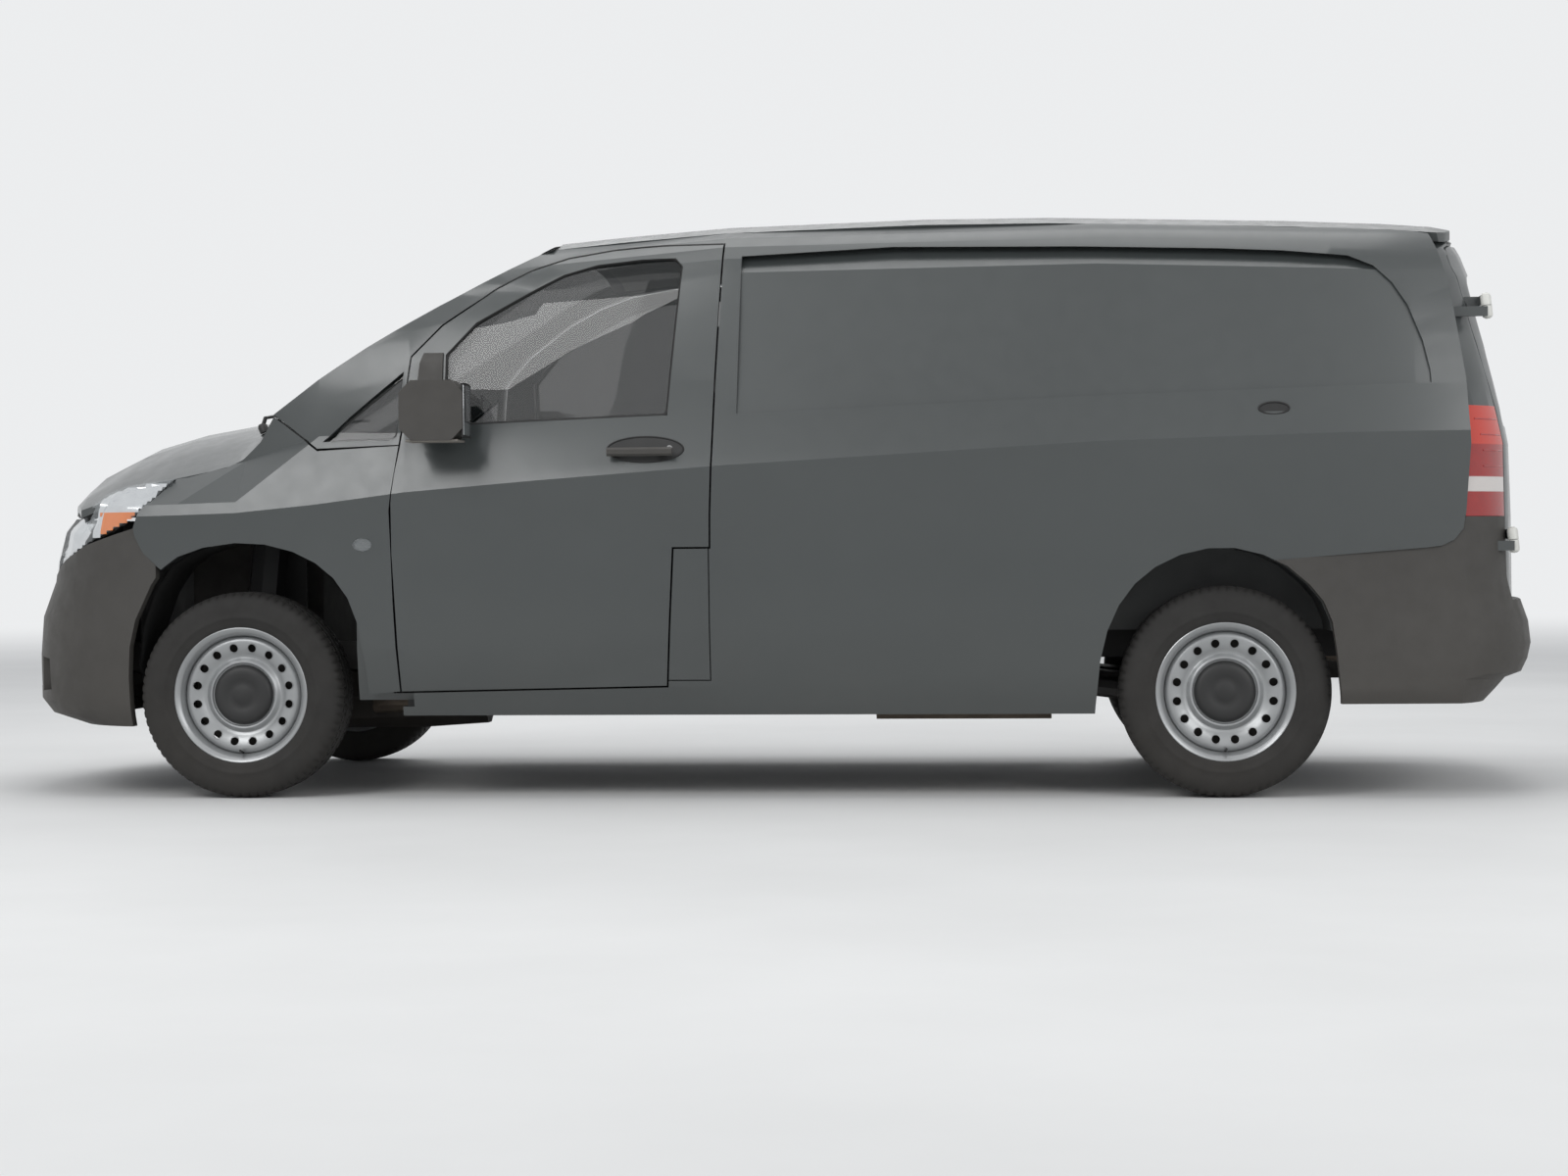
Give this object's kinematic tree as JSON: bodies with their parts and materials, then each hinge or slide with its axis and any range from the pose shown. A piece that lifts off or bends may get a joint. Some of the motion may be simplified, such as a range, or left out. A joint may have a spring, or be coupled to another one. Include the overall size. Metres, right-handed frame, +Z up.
{
  "type": "panel van",
  "caption": "Mid-size panel van with a windowless load space, two cab doors, a sliding side door, two hinged rear doors, a steered front axle and pressed steel wheels.",
  "frame": {"origin": "centre of the footprint on the road, under the middle of the length", "axes": "+X towards the tail, +Y towards the passenger's side (the right), +Z up; the driver's left side is -Y"},
  "size_m": [5.1392, 2.244, 1.91],
  "materials": {
    "paint": "satin dark grey",
    "bumper_plastic": "grained",
    "glass": "tinted",
    "front_lamp": "clear",
    "rear_lamp": "clear red",
    "white_plastic": "satin",
    "cast": "rough",
    "chassis_black": "satin black",
    "alloy": "matt",
    "exhaust_steel": "dull",
    "dash_plastic": "grained",
    "seat_cloth": "woven",
    "rubber": "matt",
    "wheel_silver": "silver"
  },
  "bodies": {
    "body": {"floor": "paint", "load_floor": "paint", "wheel_houses": "paint", "front_rails": "paint", "chassis_rails": "paint", "firewall": "paint", "left_body_side": "paint", "right_body_side": "paint", "roof": "paint", "front_fenders": "paint", "rear_frame": "paint", "sliding_door": "paint", "cowl": "bumper_plastic", "front_bumper": "bumper_plastic", "grille": "bumper_plastic", "intake_grille": "bumper_plastic", "rear_bumper": "bumper_plastic", "wheel_liners": "bumper_plastic", "fuel_tank": "bumper_plastic", "windscreen": "glass", "quarter_glass": "glass", "headlamps": "front_lamp", "side_repeaters": "front_lamp", "tail_lamps": "rear_lamp", "rear_hinges": "white_plastic", "engine": "cast", "driveline": "cast", "front_suspension": "chassis_black", "rear_suspension": "chassis_black", "seat_bases": "chassis_black", "radiator": "alloy", "exhaust": "exhaust_steel", "dashboard": "dash_plastic", "column_shroud": "dash_plastic", "seats": "seat_cloth"},
    "steering_wheel": {"steering_wheel": "dash_plastic"},
    "hood": {"hood": "paint"},
    "left_door": {"left_door": "paint", "left_door_glass": "glass", "left_mirror": "bumper_plastic", "left_handle": "bumper_plastic"},
    "right_door": {"right_door": "paint", "right_door_glass": "glass", "right_mirror": "bumper_plastic", "right_handle": "bumper_plastic"},
    "left_rear_door": {"left_rear_door": "paint", "left_rear_glass": "glass"},
    "right_rear_door": {"right_rear_door": "paint", "right_rear_glass": "glass"},
    "fuel_flap": {"fuel_flap": "paint"},
    "left_knuckle": {"left_knuckle": "chassis_black"},
    "right_knuckle": {"right_knuckle": "chassis_black"},
    "left_front_wheel": {"left_front_tyre": "rubber", "left_front_rim": "wheel_silver"},
    "left_rear_wheel": {"left_rear_tyre": "rubber", "left_rear_rim": "wheel_silver"},
    "right_front_wheel": {"right_front_tyre": "rubber", "right_front_rim": "wheel_silver"},
    "right_rear_wheel": {"right_rear_tyre": "rubber", "right_rear_rim": "wheel_silver"}
  },
  "joints": [
    {"name": "steer_left", "type": "hinge", "parent": "body", "child": "left_knuckle", "pos_m": [-1.675, -0.69, 0.338], "axis": [0, 0, 1], "range_deg": [-36, 36]},
    {"name": "steer_right", "type": "hinge", "parent": "body", "child": "right_knuckle", "pos_m": [-1.675, 0.69, 0.338], "axis": [0, 0, 1], "range_deg": [-36, 36]},
    {"name": "steering_wheel_turn", "type": "hinge", "parent": "body", "child": "steering_wheel", "pos_m": [-0.805, -0.4, 1.03], "axis": [0.8211, 0, 0.5708], "range_deg": [-540, 540]},
    {"name": "left_front_wheel_spin", "type": "hinge", "parent": "left_knuckle", "child": "left_front_wheel", "pos_m": [-1.675, -0.805, 0.338], "axis": [0, 1, 0], "continuous": true},
    {"name": "right_front_wheel_spin", "type": "hinge", "parent": "right_knuckle", "child": "right_front_wheel", "pos_m": [-1.675, 0.805, 0.338], "axis": [0, 1, 0], "continuous": true},
    {"name": "left_rear_wheel_spin", "type": "hinge", "parent": "body", "child": "left_rear_wheel", "pos_m": [1.525, -0.805, 0.338], "axis": [0, 1, 0], "continuous": true},
    {"name": "right_rear_wheel_spin", "type": "hinge", "parent": "body", "child": "right_rear_wheel", "pos_m": [1.525, 0.805, 0.338], "axis": [0, 1, 0], "continuous": true},
    {"name": "left_door_swing", "type": "hinge", "parent": "body", "child": "left_door", "pos_m": [-1.15515, -0.962, 0.775], "axis": [0, 0, -1], "range_deg": [0, 68]},
    {"name": "right_door_swing", "type": "hinge", "parent": "body", "child": "right_door", "pos_m": [-1.15515, 0.962, 0.775], "axis": [0, 0, 1], "range_deg": [0, 68]},
    {"name": "hood_lift", "type": "hinge", "parent": "body", "child": "hood", "pos_m": [-1.575, 0, 1.262], "axis": [0, 1, 0], "range_deg": [0, 50]},
    {"name": "left_rear_door_swing", "type": "hinge", "parent": "body", "child": "left_rear_door", "pos_m": [2.44, -0.822, 0.816], "axis": [0.0953, -0.0754, -0.9926], "range_deg": [0, 180]},
    {"name": "right_rear_door_swing", "type": "hinge", "parent": "body", "child": "right_rear_door", "pos_m": [2.44, 0.822, 0.816], "axis": [-0.0953, -0.0754, 0.9926], "range_deg": [0, 180]},
    {"name": "fuel_flap_swing", "type": "hinge", "parent": "body", "child": "fuel_flap", "pos_m": [-0.125, -0.962, 0.596], "axis": [0, 0, 1], "range_deg": [0, 95]}
  ],
  "couplings": [
    {"joint": "steer_right", "follows": "steer_left", "ratio": 1},
    {"joint": "steering_wheel_turn", "follows": "steer_left", "ratio": 15}
  ]
}
